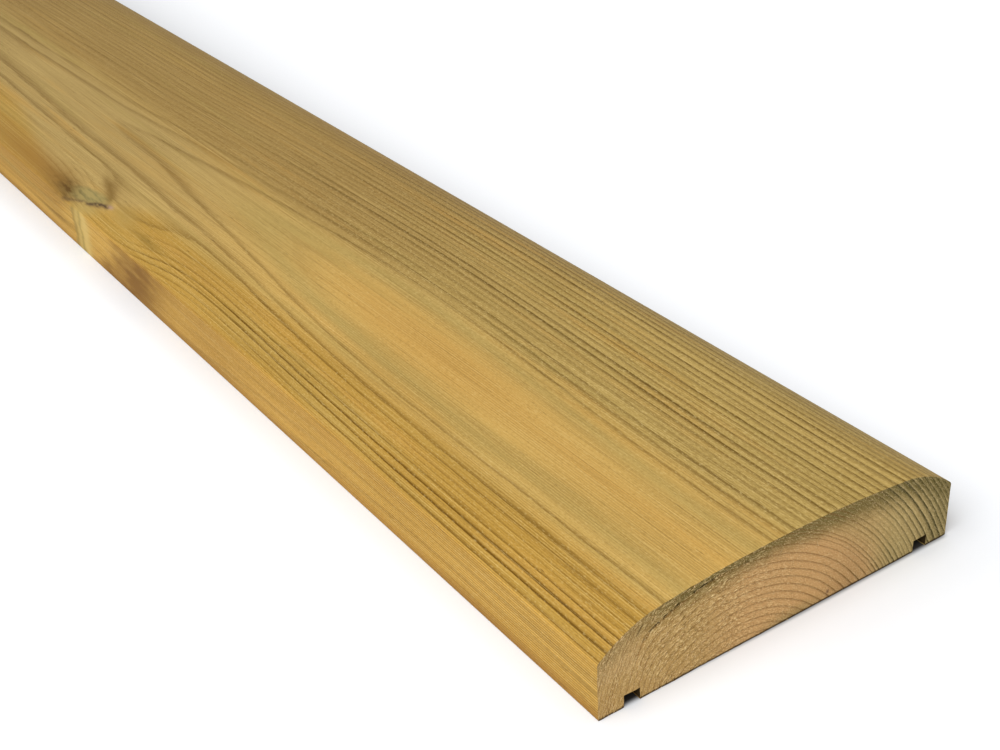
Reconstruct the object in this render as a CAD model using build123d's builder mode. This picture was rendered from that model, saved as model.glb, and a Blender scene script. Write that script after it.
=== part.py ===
# Balcony railing board: one length of planed, pressure-treated pine handrail stock.
# The top is crowned so that water runs off it, and turns down over rounded shoulders to
# two straight edges. The flat underside, which lies on the posts, has a drip groove
# along each edge. The length runs along X and the underside lies on Z = 0.

import os

from build123d import *

# Stock size, in millimetres
board_length = 1800
board_width = 145
board_thickness = 34

# Top: a shallow crown over the middle, then a rounded shoulder down to each straight edge
crown_width = 100
crown_drop = 2.85
edge_height = 21

# Drip grooves in the underside: the margin is the lip left outside each groove
groove_width = 6
groove_depth = 4.5
groove_margin = 9.5

# Slight rounding of the four long outer arrises
arris_radius = 0.5

os.makedirs("parts", exist_ok=True)

with BuildPart() as railing_board:
    with BuildSketch(Plane.YZ) as section:
        with BuildLine():
            crown = ThreePointArc(
                (-crown_width / 2, board_thickness - crown_drop),
                (0, board_thickness),
                (crown_width / 2, board_thickness - crown_drop),
            )
            left_shoulder = TangentArc(
                crown @ 0, (-board_width / 2, edge_height), tangent=-(crown % 0)
            )
            right_shoulder = TangentArc(
                crown @ 1, (board_width / 2, edge_height), tangent=crown % 1
            )
            Polyline(
                left_shoulder @ 1,
                (-board_width / 2, 0),
                (board_width / 2, 0),
                right_shoulder @ 1,
            )
        make_face()
        across = section.vertices().group_by(Axis.X)
        fillet(across[0] + across[-1], radius=arris_radius)
        with GridLocations(board_width - 2 * groove_margin - groove_width, 0, 2, 1):
            Rectangle(
                groove_width,
                groove_depth,
                align=(Align.CENTER, Align.MIN),
                mode=Mode.SUBTRACT,
            )
    extrude(amount=board_length / 2, both=True)

railing_board.part.label = "railing_board"
export_step(railing_board.part, "parts/railing_board.step")
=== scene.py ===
import math

import bpy
import numpy as np
from mathutils import Matrix, Vector
from mathutils.geometry import delaunay_2d_cdt
from mathutils.kdtree import KDTree


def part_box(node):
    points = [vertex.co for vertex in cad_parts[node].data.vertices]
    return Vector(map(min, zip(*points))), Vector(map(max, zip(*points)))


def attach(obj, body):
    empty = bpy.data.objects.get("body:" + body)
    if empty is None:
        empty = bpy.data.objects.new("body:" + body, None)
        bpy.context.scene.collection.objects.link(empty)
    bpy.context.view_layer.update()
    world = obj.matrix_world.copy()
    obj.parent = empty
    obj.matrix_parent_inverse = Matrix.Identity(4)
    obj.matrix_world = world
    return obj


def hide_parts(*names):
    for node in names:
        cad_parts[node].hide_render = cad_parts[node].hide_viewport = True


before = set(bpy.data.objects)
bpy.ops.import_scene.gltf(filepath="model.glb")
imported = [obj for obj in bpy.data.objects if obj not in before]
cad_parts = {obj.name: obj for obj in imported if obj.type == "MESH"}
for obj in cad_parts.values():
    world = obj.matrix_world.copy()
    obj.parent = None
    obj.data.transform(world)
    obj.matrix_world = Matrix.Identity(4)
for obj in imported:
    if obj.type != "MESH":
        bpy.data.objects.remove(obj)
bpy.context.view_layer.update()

# The moulded section: planer knives cut the board's whole outline in one pass, a crowned top
# with rounded shoulders, two straight edges, and two drip grooves in the flat underside.
# The outline is drawn across the board, as (y, z) in metres, and the arrises are just broken.
board_low, board_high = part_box("railing_board")
half_length = board_high.x
half_width = board_high.y
thickness = board_high.z
edge_height = 0.021
crown_half_width = 0.050
crown_drop = 0.00285
groove_outer_wall = 0.063
groove_inner_wall = 0.057
groove_depth = 0.0045
arris_break = 0.0006
crown_steps = 30
shoulder_steps = 20
edge_steps = 12
lip_steps = 6
groove_wall_steps = 3
groove_top_steps = 4
underside_steps = 28

crown_radius = (crown_half_width**2 + crown_drop**2) / (2 * crown_drop)
crown_angle = math.asin(crown_half_width / crown_radius)
crown_end = Vector((crown_half_width, thickness - crown_drop))
shoulder_foot = Vector((half_width, edge_height))
shoulder_normal = Vector((-math.sin(crown_angle), -math.cos(crown_angle)))
shoulder_chord = shoulder_foot - crown_end
shoulder_radius = shoulder_chord.length_squared / (2 * shoulder_chord.dot(shoulder_normal))
shoulder_centre = crown_end + shoulder_radius * shoulder_normal


def top_height(y):
    """Height of the crowned top over the underside, at a distance y from the board's middle."""
    y = abs(y)
    if y <= crown_half_width:
        return thickness - crown_radius + math.sqrt(crown_radius**2 - y**2)
    return shoulder_centre.y + math.sqrt(shoulder_radius**2 - (y - shoulder_centre.x) ** 2)


def straight(start, end, pieces):
    """Evenly spaced points from start towards end, without the end itself."""
    return [start.lerp(end, i / pieces) for i in range(pieces)]


def broken_arris(before, corner, after):
    """Three points that take the sharpness off a corner."""
    first = corner + (before - corner).normalized() * arris_break
    last = corner + (after - corner).normalized() * arris_break
    return [first, (first + 2 * corner + last) / 4, last]


def half_outline():
    """Outline of the +Y half, from the middle of the crown round to the middle of the underside."""
    across_crown = np.linspace(0, crown_half_width, crown_steps, endpoint=False)
    across_shoulder = np.linspace(crown_half_width, half_width, shoulder_steps, endpoint=False)
    crown = [Vector((y, top_height(y))) for y in across_crown]
    shoulder = [Vector((y, top_height(y))) for y in across_shoulder]
    foot = Vector((half_width, 0))
    lip = Vector((groove_outer_wall, 0))
    rise = Vector((0, groove_depth))
    inner = Vector((groove_inner_wall, 0))
    middle = Vector((0, 0))
    edge = straight(shoulder_foot, foot, edge_steps)
    under = straight(foot, lip, lip_steps)
    points = crown + shoulder + broken_arris(shoulder[-1], shoulder_foot, foot) + edge[1:]
    points += broken_arris(shoulder_foot, foot, lip) + under[1:]
    points += straight(lip, lip + rise, groove_wall_steps)
    points += straight(lip + rise, inner + rise, groove_top_steps)
    points += straight(inner + rise, inner, groove_wall_steps)
    points += straight(inner, middle, underside_steps)
    return points + [middle]


right_half = half_outline()
outline = right_half + [Vector((-p.x, p.y)) for p in reversed(right_half[1:-1])]

# The sawn end: the cross-cut face, as a fine net of triangles inside the outline, so that the
# growth rings can stand out of it. It is also the section that the board's length is made from.
net_pitch = 0.00056
row_share = 0.866
net_margin = 0.00036


def inside_section(y, z):
    """True where a point lies in the wood, clear of the outline by the net's margin."""
    in_groove = groove_inner_wall - net_margin < abs(y) < groove_outer_wall + net_margin
    floor = groove_depth + net_margin if in_groove else net_margin
    return abs(y) < half_width - net_margin and floor < z < top_height(y) - net_margin


net = []
columns = math.ceil(half_width / net_pitch)
for row in range(1, int(thickness / (net_pitch * row_share))):
    z = row * net_pitch * row_share
    for column in range(-columns, columns + 1):
        y = (column + 0.5 * (row % 2)) * net_pitch
        if abs(y) < half_width and inside_section(y, z):
            net.append(Vector((y, z)))
rim = len(outline)
rim_edges = [(i, (i + 1) % rim) for i in range(rim)]
flat_points, _, flat_faces, *_ = delaunay_2d_cdt(outline + net, rim_edges, [], 1, 1e-7)
sawn_end = bpy.data.meshes.new("sawn_end")
sawn_end.from_pydata([(0, p.x, p.y) for p in flat_points], [], flat_faces)
sawn_end.update()
if sawn_end.polygons[0].normal.x < 0:
    sawn_end.flip_normals()

# The timber: pine grown round a pith that runs below the board, so the rings rise through it as
# nested arches. Each ring is pale earlywood that darkens outwards to a hard, dark latewood line.
# These places and rings, in mm, are used by the sawn ends' relief and by the wood's finishes.
pith_aside = 20
pith_below = 27
usual_radius = 60


class Figure:
    """A node's output, in a shader or a geometry tree: arithmetic on it adds Math nodes there."""

    def __init__(self, tree, socket):
        self.tree = tree
        self.socket = socket

    def node(self, kind, settings=None, sockets=None, output=0):
        """Adds a node, with its settings first and then its sockets' values or links."""
        made = self.tree.nodes.new(kind)
        for name, value in (settings or {}).items():
            setattr(made, name, value)
        for name, value in (sockets or {}).items():
            if isinstance(value, Figure):
                self.tree.links.new(value.socket, made.inputs[name])
            else:
                made.inputs[name].default_value = value
        return Figure(self.tree, made.outputs[output])

    def math(self, operation, *values):
        """A Math node on this figure and any further values."""
        return self.node("ShaderNodeMath", {"operation": operation}, dict(enumerate((self,) + values)))

    def __add__(self, other):
        return self.math("ADD", other)

    def __radd__(self, other):
        return self.math("ADD", other)

    def __sub__(self, other):
        return self.math("SUBTRACT", other)

    def __rsub__(self, other):
        return self.math("MULTIPLY_ADD", -1.0, other)

    def __mul__(self, other):
        return self.math("MULTIPLY", other)

    def __rmul__(self, other):
        return self.math("MULTIPLY", other)

    def __pow__(self, other):
        return self.math("POWER", other)

    def rise(self, low, high, first=0.0, last=1.0):
        """Goes smoothly from first, below low, to last, above high."""
        return self.node(
            "ShaderNodeMapRange",
            {"interpolation_type": "SMOOTHSTEP"},
            {"Value": self, "From Min": low, "From Max": high, "To Min": first, "To Max": last},
        )

    def bell(self, centre, width):
        """1 at centre, falling off smoothly over about width to each side."""
        reach = (self - centre) * (1 / width)
        return (reach * reach * -1).math("EXPONENT")


class Timber:
    """Places in the wood, in millimetres: along from the +X end, y across, z up."""

    def __init__(self, place):
        x, y, z = (place.node("ShaderNodeSeparateXYZ", {}, {0: place}, i) for i in range(3))
        self.along = half_length * 1000 - x * 1000
        self.y = y * 1000
        self.z = z * 1000

    def noise(self, along, across, detail=1.0, seed=0.0):
        """Noise about 0, stretched along the grain: its lengths along and across, in mm."""
        sockets = {
            0: self.along * (1 / along) + seed,
            1: self.y * (1 / across),
            2: self.z * (1 / across) + seed,
        }
        vector = self.y.node("ShaderNodeCombineXYZ", {}, sockets)
        sockets = {"Vector": vector, "Scale": 1.0, "Detail": detail}
        return self.y.node("ShaderNodeTexNoise", {}, sockets) - 0.5

    def ring_noise(self, radius, across, round_ring, seed):
        """Noise about 0 on the sawn end: its lengths across the rings and round them, in mm."""
        arc = (self.z + pith_below).math("ARCTAN2", self.y + pith_aside) * usual_radius
        sockets = {0: radius * (1 / across), 1: arc * (1 / round_ring), 2: self.along * 0.01 + seed}
        vector = radius.node("ShaderNodeCombineXYZ", {}, sockets)
        sockets = {"Vector": vector, "Scale": 1.0, "Detail": 2.0}
        return radius.node("ShaderNodeTexNoise", {}, sockets) - 0.5

    def below_top(self):
        """Depth below the crowned top."""
        shoulder = (self.y.math("ABSOLUTE") - 50).math("MAXIMUM", 0.0)
        return 34 - self.z - self.y * self.y * (1 / 880) - shoulder * shoulder * (1 / 72)

    def round_shoulder(self):
        """How far up and round the -Y shoulder from the heart of the knot."""
        return (self.y + 69) * 0.69 + (self.z - 24) * 0.72

    def pith_distance(self):
        """Distance from the pith, which wanders under the board; near the knot rings swing out."""
        wander = (self.along * (2 * math.pi / 640)).math("COSINE")
        pith_y = -17.5 - 2.6 * wander - 2.0 * self.along.bell(470, 60)
        far_wave = (self.along * (2 * math.pi / 530) + 0.9).math("SINE") * self.along.rise(600, 900)
        pith_z = self.along.bell(190, 115) * 1.85 - 26.9 - 0.005 * self.along + 1.6 * far_wave
        pith_z = pith_z - self.along.rise(420, 500, 0.0, 0.3)
        sideways = self.y - pith_y + 0.1225 * (self.z - 17)
        sideways = sideways * sideways.rise(-6, 6, 0.892, 1.0)
        upwards = self.z - pith_z
        straight_out = (sideways * sideways + upwards * upwards) ** 0.5
        pointed = sideways.math("ABSOLUTE").math("MINIMUM", 10.0) * self.along.rise(330, 430)
        straight_out = straight_out + pointed * 0.034
        inside = (27 - self.z).math("MAXIMUM", 0.0) * 0.35
        steep_edge = (inside - 57 - self.y).math("SMOOTH_MAX", 0.0, 4.0) * 0.55
        swing = self.along.bell(366, 58) * self.round_shoulder().bell(0, 14) * 8.5
        return straight_out + steep_edge - swing

    def end_radius(self):
        """Distance from the pith on the sawn ends, where each ring wavers a little."""
        radius = self.pith_distance() + 0.5 * self.noise(90, 9, 1, 3.1)
        return radius + 0.3 * self.noise(90, 1.5, 1, 4.4)


# Each latewood line outside the heartwood: its radius in mm, how dark it is, how wide it is.
ring_lines = (
    (60.7, 0.12, 0.5), (62.8, 0.60, 0.5), (64.4, 0.62, 0.9), (65.7, 0.66, 0.9), (67.5, 0.52, 0.9),
    (68.6, 0.44, 0.8), (70.2, 0.70, 1.1), (72.0, 0.95, 1.3), (73.8, 0.92, 1.3), (75.7, 0.72, 1.2),
    (77.0, 0.58, 0.9), (78.8, 0.70, 1.2), (80.6, 0.88, 1.3), (83.0, 0.82, 1.6), (85.1, 0.78, 1.5),
    (87.1, 0.86, 1.5), (89.9, 1.00, 1.9), (92.4, 0.94, 1.8), (94.5, 0.80, 1.5), (96.3, 0.74, 1.3),
    (98.2, 0.74, 1.3), (99.9, 0.70, 1.2), (101.4, 0.66, 1.1), (102.9, 0.68, 1.1), (104.6, 0.6, 1.2),
)
heart_radius = 60.2
inner_heart_ring = 32.6
heart_ring_pitch = 2.78


def latewood(radius):
    """Each ring darkens outwards to its line and stops short there, with a pale edge beyond it."""
    turn = ((radius - inner_heart_ring) * (1 / heart_ring_pitch) + 20).math("FRACT")
    in_heart = radius.rise(59.2, 59.6, 0.75, 0.0)
    dark = turn.rise(0.58, 0.96) * turn.rise(0.965, 1.0, 1.0, 0.0) * in_heart
    pale = turn.rise(0.02, 0.08) * turn.rise(0.1, 0.4, 1.0, 0.0) * in_heart
    for line, strength, width in ring_lines:
        rising = radius.rise(line - width, line - 0.03)
        rising = rising * 0.6 + rising**4 * 0.4
        dark = dark + rising * radius.rise(line, line + 0.18, strength, 0.0)
        beyond = radius.rise(line + 0.1, line + 0.3, 0.0, strength)
        pale = pale + beyond * radius.rise(line + 0.35, line + 1.0, 1.0, 0.0)
    return dark, pale


def linear(red, green, blue):
    """A colour as seen, in 0 to 255, as the linear values that a shader takes."""
    seen = [c / 255 for c in (red, green, blue)]
    return tuple(c / 12.92 if c <= 0.04045 else ((c + 0.055) / 1.055) ** 2.4 for c in seen) + (1.0,)


def blend(under, over, amount):
    """Lays one colour over another by an amount from 0 to 1."""
    settings = {"data_type": "RGBA", "clamp_factor": True}
    return amount.node("ShaderNodeMix", settings, {0: amount, 6: under, 7: over}, 2)


def new_material(name):
    """A material with one Principled shader, and the place in the piece that it is shaded for."""
    material = bpy.data.materials.new(name)
    material.use_nodes = True
    tree = material.node_tree
    tree.nodes.clear()
    shader = tree.nodes.new("ShaderNodeBsdfPrincipled")
    output = tree.nodes.new("ShaderNodeOutputMaterial")
    tree.links.new(shader.outputs[0], output.inputs["Surface"])
    place = Figure(tree, tree.nodes.new("ShaderNodeTexCoord").outputs["Object"])
    return material, shader, place


def knot_stain(timber, colour):
    """The knot on the -Y shoulder: its grey-green heart, crack, gum, streaks and brown stain."""
    along = timber.along + 7 * timber.noise(16, 6, 2, 31.0)
    around = timber.round_shoulder() + 2.4 * timber.noise(9, 4, 2, 33.0)
    over = around - 5.8 + (along - 377) * 0.256
    side = around.rise(-5.5, -3.0, 1.0, 0.0)

    # Brown stain on the edge, nearer than the knot, and its tail beyond
    blotch = along + 34 * timber.noise(26, 7, 3, 36.0) + (timber.z - 10) * 1.3
    stain = blotch.rise(282, 334) * blotch.rise(348, 374, 1.0, 0.0) * side
    stain = stain * timber.noise(22, 5, 2, 38.0).rise(-0.2, 0.12, 0.6, 1.0)
    colour = blend(colour, linear(122, 84, 34), stain * 0.9)
    tail = (around - 1.0).bell(0, 6.5) * along.rise(408, 432) * along.rise(460, 600, 1.0, 0.0)
    colour = blend(colour, linear(142, 103, 44), tail * 0.75)
    halo = along.bell(362, 14) * around.bell(7.0, 4.5)
    colour = blend(colour, linear(160, 136, 76), halo * 0.55)
    band = along.bell(333, 17) * around.bell(5.0, 1.7)
    colour = blend(colour, linear(122, 98, 42), band * 0.6)

    # Streaks that run down the edge below it
    colour = blend(colour, linear(172, 147, 84), over.bell(-3.4, 2.8) * along.bell(394, 13) * 0.7)
    streaks = side * along.rise(375, 384) * along.rise(404, 411, 1.0, 0.0)
    colour = blend(colour, linear(206, 179, 108), along.bell(391.5, 5.5) * streaks * 0.8)
    colour = blend(colour, linear(188, 164, 96), along.bell(400.5, 2.4) * streaks * 0.8)
    colour = blend(colour, linear(158, 140, 80), along.bell(396.8, 1.5) * streaks * 0.7)
    colour = blend(colour, linear(144, 124, 66), along.bell(405.0, 2.2) * streaks * 0.7)

    # The knot's heart, dark far end, crack and gum at its near tip
    leaning = over - 4.2 - (along - 400) * 0.09
    ellipse = ((along - 399) * (1 / 22)) ** 2 + (leaning * (1 / 4.6)) ** 2
    heart = ellipse.rise(0.25, 1.2, 1.0, 0.0)
    mottle = timber.noise(9, 1.6, 2, 35.0).rise(-0.12, 0.16)
    green = blend(linear(156, 139, 84), linear(122, 114, 70), mottle)
    colour = blend(colour, green, heart * 0.85)
    smudge = along.bell(430, 18) * around.bell(1.0, 5.0) * 0.45 + along.bell(417, 9) * around.bell(0.2, 5.0)
    colour = blend(colour, linear(92, 66, 24), smudge * mottle.math("MULTIPLY_ADD", 0.35, 0.65))
    leaving = (around - 8.5 - (along - 380) * 0.28).bell(0, 2.4)
    leaving = leaving * along.rise(376, 384) * along.rise(394, 414, 1.0, 0.0)
    colour = blend(colour, linear(116, 87, 36), leaving * 0.75)
    crack = over.bell(0, 1.2) * along.rise(375, 378) * along.rise(388, 404, 1.0, 0.55)
    crack = crack * along.rise(414, 424, 1.0, 0.0) * timber.noise(5, 2, 1, 37.0).rise(-0.2, 0.0, 0.4, 1.0)
    colour = blend(colour, linear(76, 58, 42), crack * 0.95)
    gum = along.bell(376.3, 2.4) * around.bell(6.4, 1.1)
    return blend(colour, linear(174, 142, 118), gum * 0.8), crack


def planed_pine():
    """The planed faces: fine ribs along the board, olive and orange stain, rings and the knot."""
    material, shader, place = new_material("planed_pine")
    timber = Timber(place)
    along, y, z = timber.along, timber.y, timber.z
    right = y.rise(-14, 4)
    flame_tip = y.bell(-21, 9) * along.rise(360, 430) * along.rise(520, 600, 1.0, 0.0)
    steady = y.bell(-21, 15) * along.rise(230, 380) * along.rise(520, 640, 1.0, 0.0)
    unsteady = timber.noise(90, 24) * along.rise(450, 750, 0.1, 0.8)
    unsteady = unsteady + 0.36 * timber.noise(26, 2.6, 2, 3.1) + 0.24 * timber.noise(7, 0.6, 1, 5.2)
    radius = timber.pith_distance() + unsteady * (1 - steady * 0.85)
    late, _ = latewood(radius)
    sharper = y.rise(-54, -36, 0.7, 0.0) + flame_tip * 0.8
    late = late ** (1 + sharper) * (sharper * 0.45).math("EXPONENT")
    fading = along.rise(200, 420) * (0.2 + right * 0.4) * along.rise(650, 850, 1.0, 0.5)
    fading = fading + along.bell(475, 45) * y.bell(-21, 10) * 0.4
    fading = fading + along.rise(425, 480) * y.rise(-60, -46, 0.6, 0.0)
    late = late * timber.noise(60, 6, 2, 6.3).rise(-0.25, 0.2, 0.7, 1.1) * (1 - fading)
    edge = y.rise(-72.4, -71.4, 1.0, 0.0)
    by_knot = along.bell(375, 85) * timber.round_shoulder().bell(1, 12)
    late = late * (1 - edge * along.rise(405, 430, 0.78, 0.4)) * (1 - by_knot * 0.6)

    # Ground colour: golden on the left, olive to the right, orange in the heartwood
    ground = blend(linear(197, 160, 87), linear(186, 157, 89), right)
    ground = blend(ground, linear(172, 146, 90), along.rise(210, 430) * (1 - right) * 0.85)
    ground = blend(ground, linear(170, 143, 79), y.bell(12, 13) * 0.55)
    ground = blend(ground, linear(156, 130, 72), y.rise(50, 60) * 0.6)
    ground = blend(ground, linear(156, 125, 68), along.rise(80, 330) * right * 0.85)
    golden_side = along.rise(340, 405, -52.0, -71.0) + along.rise(410, 560, 0.0, 21.0)
    golden = (y - golden_side).rise(-5, 5, 1.0, 0.0)
    ground = blend(ground, linear(178, 139, 61), golden * along.rise(380, 460, 1.0, 0.85))
    ground = blend(ground, linear(204, 160, 76), edge)
    ground = blend(ground, linear(218, 174, 88), edge * along.rise(60, 110, 0.7, 0.0) * z.bell(11, 4))
    ground = blend(ground, linear(184, 140, 64), edge * along.bell(150, 60) * z.rise(12, 16, 0.0, 0.4))
    ground = blend(ground, linear(160, 118, 54), edge * along.rise(412, 430, 0.0, 0.4) * z.rise(4, 10))
    ground = blend(ground, linear(174, 132, 62), edge * along.bell(255, 45) * 0.6)
    olive = timber.noise(170, 9, 2, 7.7).rise(0.0, 0.25)
    ground = blend(ground, linear(164, 141, 76), olive * 0.5)
    warm = timber.noise(140, 7, 2, 8.9).rise(0.02, 0.25) * (1 - along.rise(250, 450, 0.0, 0.7) * right)
    ground = blend(ground, linear(196, 151, 74), warm * 0.45)
    heart = radius.rise(heart_radius - 0.9, heart_radius + 0.4, 1.0, 0.0)
    ground = blend(ground, linear(197, 154, 79), heart * 0.9)
    ground = blend(ground, linear(170, 146, 82), radius.bell(61.3, 0.6) * 0.6)

    # Rings: dark olive-brown on the right, warmer on the left
    dark = blend(linear(100, 68, 0), linear(92, 66, 2), right)
    colour = blend(ground, dark, late)

    # Fibres, pale specks, flecks of resin, and the fine ribs that the knives left
    fibre = timber.noise(70, 0.32, 2, 11.3)
    colour = blend(colour, linear(108, 78, 30), fibre.rise(0.02, 0.26) * 0.5)
    colour = blend(colour, linear(222, 192, 122), fibre.rise(-0.02, -0.26) * 0.4)
    speck = timber.noise(1.3, 0.42, 2, 12.7)
    grainy = y.rise(-10, 6, 0.6, 1.0) * along.rise(220, 480, 1.0, 0.55)
    colour = blend(colour, linear(224, 198, 132), speck.rise(0.03, 0.24) * grainy * 0.46)
    colour = blend(colour, linear(104, 78, 34), speck.rise(-0.03, -0.24) * grainy * 0.42)
    fleck = timber.noise(7, 0.3, 0, 15.1).rise(0.25, 0.34) * timber.noise(60, 20, 1, 15.9).rise(-0.05, 0.15)
    colour = blend(colour, linear(84, 60, 28), fleck * 0.75)
    ribs = ((y + z) * (2 * math.pi / 0.98)).math("SINE")
    rib_depth = timber.noise(80, 7, 1, 13.9).rise(-0.2, 0.2, 0.25, 1.0) * y.rise(-8, 12, 0.7, 0.3)
    rib_depth = (rib_depth + edge * 0.8) * along.rise(60, 260, 1.0, 0.5)
    colour = blend(colour, linear(108, 76, 24), (ribs * 0.5 + 0.5) ** 1.5 * rib_depth * 0.46)
    foot = z.rise(0.5, 6.0, 1.0, 0.0) * edge
    colour = blend(colour, linear(140, 96, 40), foot * along.rise(60, 110, 0.64, 0.46))
    colour, crack = knot_stain(timber, colour)

    # The drip grooves' faces are painted dark: painted shade inside the grooves
    painted_groove_shade = (y.math("ABSOLUTE") - 60).math("ABSOLUTE").rise(3.1, 3.4, 1.0, 0.0) * z.rise(0.05, 0.6)
    colour = blend(colour, linear(46, 34, 20), painted_groove_shade * z.rise(4.6, 5.2, 0.95, 0.0))
    place.tree.links.new(colour.socket, shader.inputs["Base Color"])

    height = ribs * rib_depth * 0.000014 + fibre * 0.00005 - crack * 0.0004
    bump = height.node("ShaderNodeBump", {}, {"Strength": 1.0, "Distance": 1.0, "Height": height})
    place.tree.links.new(bump.socket, shader.inputs["Normal"])
    roughness = late * -0.1 + 0.7
    place.tree.links.new(roughness.socket, shader.inputs["Roughness"])
    shader.inputs["Specular IOR Level"].default_value = 0.09
    return material


def sawn_pine():
    """The cross-cut ends: crisp ring lines on one side, torn fibres on the other."""
    material, shader, place = new_material("sawn_pine")
    timber = Timber(place)
    y, z = timber.y, timber.z
    radius = timber.end_radius()
    late, pale = latewood(radius)
    late = (late * 1.2) ** 1.3 + radius.bell(60.5, 0.24) * 0.6
    depth = timber.below_top() + 4.5 * timber.noise(90, 4, 3, 19.3)

    # Ground colour: pinkish heart, straw sapwood, and the olive stain that soaked in from outside
    ground = blend(linear(198, 154, 100), linear(186, 155, 98), radius.rise(60, 72))
    ground = blend(ground, linear(183, 147, 89), y.rise(-40, -10, 1.0, 0.0))
    ground = blend(ground, linear(198, 163, 110), y.rise(-64, -52, 0.6, 0.0) * z.rise(10, 16))
    ground = blend(ground, linear(166, 130, 84), y.bell(28, 10) * z.rise(4, 22, 0.55, 0.2))
    ground = blend(ground, linear(150, 134, 86), y.bell(46, 10) * z.rise(3, 12, 0.35, 0.0))
    ground = blend(ground, linear(168, 149, 96), y.rise(34, 52) * 0.6)
    ground = blend(ground, linear(140, 124, 78), y.rise(54, 68) * 0.9)
    soaked = (depth - y.rise(0, 15, 0.0, 1.2)).rise(1.0, 10.0, 1.0, 0.0) * y.rise(-62, -40, 0.5, 1.0)
    ground = blend(ground, linear(102, 90, 46), soaked * 0.88)
    ground = blend(ground, linear(146, 128, 78), z.rise(0.5, 6.0, 1.0, 0.0) * y.bell(4, 12) * 0.6)

    # Rings: clear all over, darkest on the right and at the foot, broken on the left
    crisp = radius.rise(80, 88, 0.66, 0.9) + y.bell(34, 22) * z.rise(2, 13, 0.4, 0.0)
    crisp = crisp + radius.bell(64, 4) * 0.25 - radius.bell(76, 5) * 0.22
    frayed = timber.ring_noise(radius, 0.7, 2.6, 16.1).rise(-0.14, 0.1, 0.55, 1.1)
    crisp = crisp * (1 - y.rise(-26, 6, 1.0, 0.0) * (1 - frayed))
    line = blend(linear(110, 74, 34), linear(60, 54, 26), y.rise(20, 48))
    colour = blend(ground, line, late * crisp)
    colour = blend(colour, linear(206, 182, 130), pale * crisp * y.rise(20, 48) * 0.3)

    # Torn fibres: pale and dark specks drawn out round the rings, in patches on the left
    torn = y.rise(-28, 14, 1.0, 0.3) * timber.noise(90, 8, 1, 18.9).rise(-0.25, 0.1, 0.4, 1.0)
    tear = timber.ring_noise(radius, 0.28, 1.5, 17.3)
    specks = torn * (pale * 0.5 + 0.6) * y.rise(-68, -44, 0.6, 1.0)
    colour = blend(colour, linear(244, 216, 156), tear.rise(0.05, 0.16) * specks)
    colour = blend(colour, linear(78, 58, 18), tear.rise(-0.04, -0.16) * specks * 0.85)
    grain = timber.noise(90, 0.4, 2, 21.1)
    colour = blend(colour, linear(88, 70, 38), grain.rise(0.02, 0.25) * 0.44)
    colour = blend(colour, linear(230, 206, 154), grain.rise(-0.04, -0.25) * 0.55)
    # A painted shadow: the lowest millimetre of each end is painted near-black, for the shade where the
    # board's foot meets the floor
    colour = blend(colour, linear(58, 44, 30), (z + 0.5 * tear).rise(0.35, 1.0, 0.9, 0.0))

    # Checks: two broken, near-black rings on the left, and a pit
    uneven = radius + 1.4 * timber.ring_noise(radius * 0.3, 1.0, 1.4, 24.1)
    broken = timber.ring_noise(radius * 0.2, 1.0, 2.0, 23.7).rise(-0.06, 0.08)
    left = y.rise(-60, -52) * y.rise(-34, -2, 1.0, 0.0)
    check = uneven.bell(57.9, 0.3) * left * broken
    check = check + uneven.bell(62.2, 0.26) * y.rise(-50, -40, 1.0, 0.0) * z.rise(20, 26) * broken * 0.6
    colour = blend(colour, linear(56, 45, 22), check * 0.95)
    colour = blend(colour, linear(88, 58, 50), y.bell(18.4, 0.6) * z.bell(2.8, 0.8) * 0.8)
    place.tree.links.new(colour.socket, shader.inputs["Base Color"])

    height = tear * torn * 0.00014 + grain * 0.00006 - check * 0.0005
    bump = height.node("ShaderNodeBump", {}, {"Strength": 1.0, "Distance": 1.0, "Height": height})
    place.tree.links.new(bump.socket, shader.inputs["Normal"])
    shader.inputs["Roughness"].default_value = 0.85
    shader.inputs["Specular IOR Level"].default_value = 0.06
    return material


planed = planed_pine()
sawn = sawn_pine()

# The board itself: the section carried along the length, closed by a sawn face at each end.
# It is one stick of pine with no joint in it. The saw left the rings standing a little proud
# on the ends and tore short fibres out of them, which reach to the board's full length.
fibre_reach = 0.0004
sharp_angle = math.radians(32)


def torn_fibre():
    """Loose fibres on the sawn ends: bare, pale wood."""
    material, shader, place = new_material("torn_fibre")
    timber = Timber(place)
    mottle = timber.noise(90, 1.2, 1, 27.7).rise(-0.2, 0.2)
    colour = blend(linear(184, 152, 102), linear(222, 192, 140), mottle)
    colour = blend(colour, linear(150, 134, 88), timber.y.rise(20, 50) * 0.8)
    place.tree.links.new(colour.socket, shader.inputs["Base Color"])
    shader.inputs["Roughness"].default_value = 0.8
    shader.inputs["Specular IOR Level"].default_value = 0.08
    return material


fibre = torn_fibre()


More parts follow.
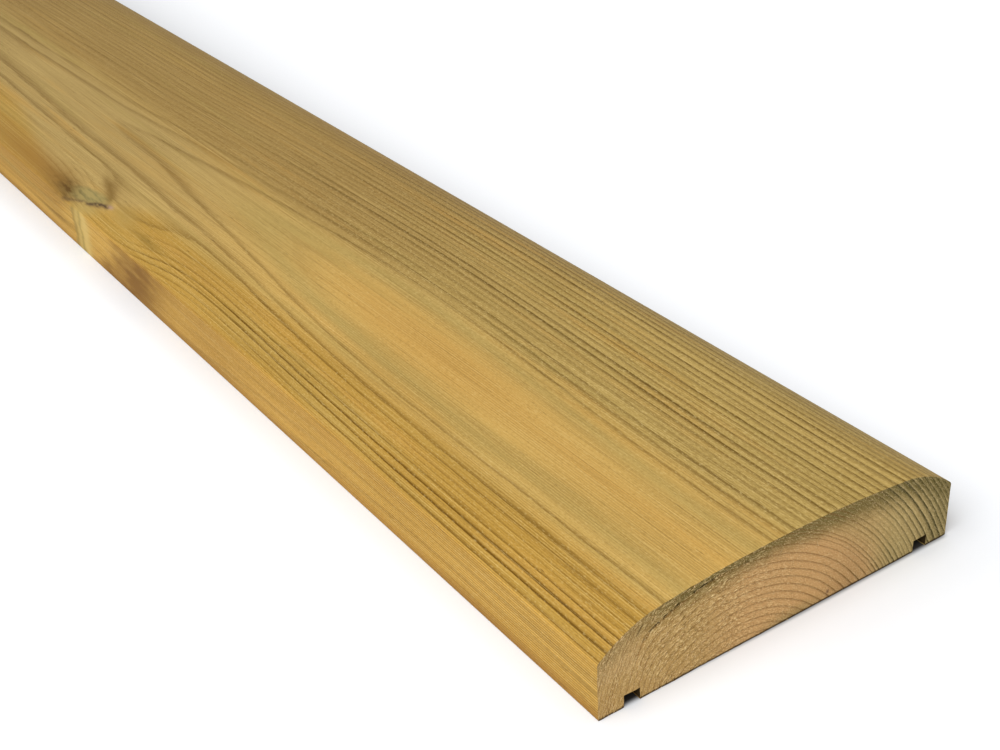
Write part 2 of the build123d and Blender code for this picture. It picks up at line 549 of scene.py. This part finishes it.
def moulding_tree():
    """Carries the sawn end's rim along the board and closes both ends with the sawn face."""
    tree = bpy.data.node_groups.new("moulded_board", "GeometryNodeTree")
    tree.interface.new_socket("Sawn end", in_out="INPUT", socket_type="NodeSocketGeometry")
    tree.interface.new_socket("Half length", in_out="INPUT", socket_type="NodeSocketFloat")
    tree.interface.new_socket("Stations", in_out="INPUT", socket_type="NodeSocketInt")
    tree.interface.new_socket("Fibres per m2", in_out="INPUT", socket_type="NodeSocketFloat")
    tree.interface.new_socket("Fibre length", in_out="INPUT", socket_type="NodeSocketFloat")
    tree.interface.new_socket("Seed", in_out="INPUT", socket_type="NodeSocketInt")
    tree.interface.new_socket("Board", in_out="OUTPUT", socket_type="NodeSocketGeometry")
    start = tree.nodes.new("NodeGroupInput")
    inputs = [Figure(tree, socket) for socket in start.outputs[:6]]
    end_face, half, stations, density, fibre_length, seed = inputs

    # The rim as a closed curve, turned to lie as a profile does, and carried along the spine
    beside = half.node("GeometryNodeInputMeshEdgeNeighbors")
    settings = {"data_type": "INT", "operation": "EQUAL"}
    on_rim = half.node("FunctionNodeCompare", settings, {2: beside, 3: 1})
    section = half.node("GeometryNodeMeshToCurve", {}, {"Mesh": end_face, "Selection": on_rim})
    place = half.node("GeometryNodeInputPosition")
    x, across, up = (half.node("ShaderNodeSeparateXYZ", {}, {0: place}, i) for i in range(3))
    lying = half.node("ShaderNodeCombineXYZ", {}, {0: across * -1, 1: up * -1})
    section = half.node("GeometryNodeSetPosition", {}, {"Geometry": section, "Position": lying})
    far = half.node("ShaderNodeCombineXYZ", {}, {0: half * -1})
    near = half.node("ShaderNodeCombineXYZ", {}, {0: half})
    spine = half.node("GeometryNodeCurvePrimitiveLine", {}, {"Start": far, "End": near})
    spine = half.node("GeometryNodeResampleCurve", {}, {"Curve": spine, "Count": stations})
    body = half.node("GeometryNodeCurveToMesh", {}, {"Curve": spine, "Profile Curve": section})
    body = half.node("GeometryNodeFlipFaces", {}, {"Mesh": body})
    body = half.node("GeometryNodeSetMaterial", {}, {"Geometry": body, "Material": planed})

    # A sawn face on each end, sewn to the body
    ends = half.node("GeometryNodeSetMaterial", {}, {"Geometry": end_face, "Material": sawn})
    near_end = half.node("GeometryNodeTransform", {}, {"Geometry": ends, "Translation": near})
    far_end = half.node("GeometryNodeTransform", {}, {"Geometry": ends, "Translation": far})
    far_end = half.node("GeometryNodeFlipFaces", {}, {"Mesh": far_end})
    join = tree.nodes.new("GeometryNodeJoinGeometry")
    for part in (body, near_end, far_end):
        tree.links.new(part.socket, join.inputs[0])
    board = Figure(tree, join.outputs[0])
    board = half.node("GeometryNodeMergeByDistance", {}, {"Geometry": board, "Distance": 0.00002})

    # The ends' relief, in mm inwards: earlywood lies lower than latewood and is torn on the left
    timber = Timber(place)
    radius = timber.end_radius()
    late, _ = latewood(radius)
    torn = timber.y.rise(-28, 14, 1.0, 0.25)
    tear = timber.ring_noise(radius, 0.9, 2.4, 17.3)
    left = timber.y.rise(-62, -56) * timber.y.rise(-30, -6, 1.0, 0.0)
    check = radius.bell(57.9, 0.5) * left
    depth = late * 0.03 + torn * tear.rise(0.2, -0.25) * 0.22 + check * 0.5
    outwards = x.math("SIGN")
    into = half.node("ShaderNodeCombineXYZ", {}, {0: outwards * depth * -0.001})
    settings = {"data_type": "FLOAT", "operation": "GREATER_THAN"}
    at_end = half.node("FunctionNodeCompare", settings, {0: x.math("ABSOLUTE") + 0.00001, 1: half})
    sockets = {"Geometry": board, "Selection": at_end, "Offset": into}
    board = half.node("GeometryNodeSetPosition", {}, sockets)

    # Torn fibres: short splinters that lie round the rings and lift off the sawn face a little
    normal = half.node("GeometryNodeInputNormal")
    facing = half.node("ShaderNodeSeparateXYZ", {}, {0: normal}).math("ABSOLUTE")
    sawn_faces = half.node("FunctionNodeCompare", settings, {0: facing, 1: 0.6})
    along_rim = timber.below_top().rise(0.2, 0.7, 1.0, 0.0)
    spread = torn * timber.noise(90, 7, 1, 25.3).rise(-0.2, 0.2) + along_rim
    sockets = {"Mesh": board, "Selection": sawn_faces, "Density": density * spread, "Seed": seed}
    points = half.node("GeometryNodeDistributePointsOnFaces", {}, sockets)
    sockets = {0: (-0.35, -0.35, -0.35), 1: (0.35, 0.35, 0.35), "Seed": seed}
    stray = half.node("FunctionNodeRandomValue", {"data_type": "FLOAT_VECTOR"}, sockets)
    sockets = {
        0: outwards * 0.22,
        1: (timber.z + pith_below) * (-1 / 50),
        2: (timber.y + pith_aside) * (1 / 50),
    }
    lie = half.node("ShaderNodeCombineXYZ", {}, sockets)
    lie = half.node("ShaderNodeVectorMath", {"operation": "ADD"}, {0: lie, 1: stray})
    turn = half.node("FunctionNodeAlignRotationToVector", {"axis": "Z"}, {"Vector": lie})
    sockets = {
        "Vertices": 4,
        "Radius Top": 0.00001,
        "Radius Bottom": fibre_length * 0.13,
        "Depth": fibre_length,
    }
    splinter = half.node("GeometryNodeMeshCone", {}, sockets)
    sockets = {2: 0.35, 3: 1.3, "Seed": seed + 1}
    scale = half.node("FunctionNodeRandomValue", {"data_type": "FLOAT"}, sockets, 1)
    sockets = {"Points": points, "Instance": splinter, "Rotation": turn, "Scale": scale}
    fibres = half.node("GeometryNodeInstanceOnPoints", {}, sockets)
    fibres = half.node("GeometryNodeRealizeInstances", {}, {"Geometry": fibres})
    inner = half.node("ShaderNodeVectorMath", {"operation": "MAXIMUM"}, {0: place, 1: tuple(board_low)})
    inner = half.node("ShaderNodeVectorMath", {"operation": "MINIMUM"}, {0: inner, 1: tuple(board_high)})
    fibres = half.node("GeometryNodeSetPosition", {}, {"Geometry": fibres, "Position": inner})
    fibres = half.node("GeometryNodeSetMaterial", {}, {"Geometry": fibres, "Material": fibre})
    join = tree.nodes.new("GeometryNodeJoinGeometry")
    for part in (board, fibres):
        tree.links.new(part.socket, join.inputs[0])
    finish = tree.nodes.new("NodeGroupOutput")
    tree.links.new(join.outputs[0], finish.inputs[0])
    return tree


def lay_flat(mesh):
    """The map that finishes are baked on: the planed faces unrolled, then the ends and fibres."""
    reach = [0.0]
    for before, after in zip(right_half, right_half[1:]):
        reach.append(reach[-1] + (after - before).length)
    nearest = KDTree(len(right_half))
    for index, point in enumerate(right_half):
        nearest.insert((point.x, point.y, 0), index)
    nearest.balance()
    foot_reach = reach[nearest.find((half_width, 0, 0))[1]]
    round_section = np.array([reach[nearest.find((abs(v.co.y), v.co.z, 0))[1]] for v in mesh.vertices])

    places = np.array([v.co for v in mesh.vertices])
    corners = np.array([loop.vertex_index for loop in mesh.loops])
    faces = np.repeat(np.arange(len(mesh.polygons)), [len(p.vertices) for p in mesh.polygons])
    middle = np.array([p.center for p in mesh.polygons])[faces]
    finish = np.array([mesh.materials[p.material_index].name for p in mesh.polygons])[faces]
    x, y, z = places[corners].T
    side = np.sign(middle[:, 1])
    near = middle[:, 0] > 0
    reached = round_section[corners]
    face_reach = np.bincount(faces, reached) / np.bincount(faces)
    under = face_reach[faces] > foot_reach

    # The map's rows hold, from its foot up, two lengths of the top, two of the underside, the
    # sawn ends and the fibres, with a gap between one and the next
    map_size = 1024
    margin = 2
    gap = 4
    top_rows = 366
    under_rows = 64
    end_rows = 104
    fibre_rows = 36
    end_columns = 508
    second_top = margin + top_rows + gap
    first_under = second_top + top_rows + gap
    second_under = first_under + under_rows + gap
    first_end = second_under + under_rows + gap
    first_fibre = first_end + end_rows + gap
    second_end = margin + end_columns + gap

    top_at = 0.5 + 0.5 * side * reached / foot_reach
    under_at = 0.5 + 0.5 * side * (reach[-1] - reached) / (reach[-1] - foot_reach)
    row_of_top = np.where(near, margin, second_top) + top_rows * top_at
    row_of_under = np.where(near, first_under, second_under) + under_rows * under_at
    row = np.where(under, row_of_under, row_of_top)
    row = np.where(finish == "sawn_pine", first_end + end_rows * z / thickness, row)
    row = np.where(finish == "torn_fibre", first_fibre + fibre_rows * z / thickness, row)
    end_column = np.where(near, margin, second_end) + end_columns * (y / half_width + 1) / 2
    planed_column = margin + (map_size - 2 * margin) * np.abs(x) / half_length
    column = np.where(finish == "planed_pine", planed_column, end_column)
    baked = mesh.uv_layers.new(name="OFBake")
    baked.uv.foreach_set("vector", np.stack([column, row], 1).ravel() / map_size)


moulding = moulding_tree()
board = bpy.data.objects.new("railing_board_wood", sawn_end)
bpy.context.scene.collection.objects.link(board)
modifier = board.modifiers.new("moulded_board", "NODES")
modifier.node_group = moulding
sizes = {
    "Half length": half_length - fibre_reach,
    "Stations": 121,
    "Fibres per m2": 600000.0,
    "Fibre length": 0.0009,
    "Seed": 4,
}
for item in moulding.interface.items_tree:
    if item.name in sizes:
        modifier[item.identifier] = sizes[item.name]
bpy.context.view_layer.update()
evaluated = board.evaluated_get(bpy.context.evaluated_depsgraph_get())
board_mesh = bpy.data.meshes.new_from_object(evaluated)
board.modifiers.clear()
board.data = board_mesh
if board_mesh.materials[0] is None:
    board_mesh.materials.pop(index=0)
lay_flat(board_mesh)
board_mesh.shade_smooth()
board_mesh.set_sharp_from_angle(angle=sharp_angle)
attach(board, "root")
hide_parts("railing_board")

# Studio: a white floor under the board, a broad soft light above on the near left, and white
# light from all round. Where it is seen the floor glows a little, more so farther from the
# board, and its colour is painted near-black under the board and just past its near end and
# +Y edge: a painted contact shadow.
white_rays = ("Is Camera Ray", "Is Glossy Ray", "Is Transmission Ray")
floor_reach = 4.0
floor_mesh = bpy.data.meshes.new("studio_floor")
corners = [(-1, -1), (1, -1), (1, 1), (-1, 1)]
floor_mesh.from_pydata([(x * floor_reach, y * floor_reach, 0) for x, y in corners], [], [(0, 1, 2, 3)])
floor = bpy.data.objects.new("studio_floor", floor_mesh)
bpy.context.scene.collection.objects.link(floor)
white, white_shader, place = new_material("white_floor")
ahead, across = (place.node("ShaderNodeSeparateXYZ", {}, {0: place}, i) for i in range(2))
off_end = (ahead.math("ABSOLUTE") - half_length).math("MAXIMUM", 0.0)
off_side = (across.math("ABSOLUTE") - half_width).math("MAXIMUM", 0.0)
clear = (off_end * off_end + off_side * off_side) ** 0.5 * across.rise(-0.06, 0.02, 3.0, 1.0)
# A painted contact shadow: the floor's colour turns near-black under the board and a little past its near
# end and +Y edge
shade_reach = across.rise(-0.07, 0.02, 0.0002, 0.0014)
painted_contact_shadow = (half_length - ahead + shade_reach).rise(0.0, 0.0028)
painted_contact_shadow = painted_contact_shadow * (half_length + ahead).rise(0.0, 0.003)
painted_contact_shadow = painted_contact_shadow * (half_width - across + 0.0016).rise(0.0, 0.004)
painted_contact_shadow = painted_contact_shadow * (half_width + across).rise(0.001, 0.004)


def seen_directly(figure):
    """1 for rays from the camera, and for those that a shiny or clear surface sends on."""
    path = [figure.node("ShaderNodeLightPath", {}, {}, name) for name in white_rays]
    return path[0].math("MAXIMUM", path[1]).math("MAXIMUM", path[2])


seen = seen_directly(place)
glow = (clear.rise(0.0, 0.1) * 0.3 + clear.rise(0.3, 1.5) * 0.3) * seen
white_glow = blend((0.0, 0.0, 0.0, 1.0), (1.0, 1.0, 1.0, 1.0), glow)
place.tree.links.new(white_glow.socket, white_shader.inputs["Emission Color"])
white_shader.inputs["Emission Strength"].default_value = 1.0
shaded = blend((0.90, 0.915, 0.94, 1.0), (0.05, 0.045, 0.04, 1.0), painted_contact_shadow)
place.tree.links.new(shaded.socket, white_shader.inputs["Base Color"])
white_shader.inputs["Roughness"].default_value = 0.9
white_shader.inputs["Specular IOR Level"].default_value = 0.0
floor.data.materials.append(white)

world = bpy.data.worlds.new("studio")
bpy.context.scene.world = world
world.use_nodes = True
backdrop = world.node_tree.nodes["Background"]
seen = seen_directly(Figure(world.node_tree, backdrop.outputs[0]))
sky = blend((0.5, 0.5, 0.5, 1.0), (1.0, 1.0, 1.0, 1.0), seen)
world.node_tree.links.new(sky.socket, backdrop.inputs["Color"])
backdrop.inputs["Strength"].default_value = 1.0

softbox = bpy.data.lights.new("softbox", "AREA")
softbox.shape = "RECTANGLE"
softbox.size = 1.4
softbox.size_y = 1.4
softbox.energy = 23
softbox_object = bpy.data.objects.new("softbox", softbox)
softbox_object.location = (1.2, -0.85, 1.25)
aim = Vector((0.75, 0, 0)) - softbox_object.location
softbox_object.rotation_euler = aim.to_track_quat("-Z", "Y").to_euler()
bpy.context.scene.collection.objects.link(softbox_object)

# Camera: worked out from the four corners of the near end and the board's long edges.
camera = bpy.data.cameras.new("camera")
camera.sensor_width = 36
camera.lens = 55.22
camera.clip_start = 0.01
camera_object = bpy.data.objects.new("camera", camera)
right = Vector((0.56641, 0.82284, -0.04609))
up = Vector((-0.39861, 0.32248, 0.85855))
back = Vector((0.72131, -0.46792, 0.51065))
turn = Matrix((right, up, back)).transposed()
camera_object.matrix_world = Matrix.Translation((half_length + 0.2620, -0.26999, 0.31217)) @ turn.to_4x4()
bpy.context.scene.collection.objects.link(camera_object)
bpy.context.scene.camera = camera_object
bpy.context.scene.view_settings.view_transform = "Standard"
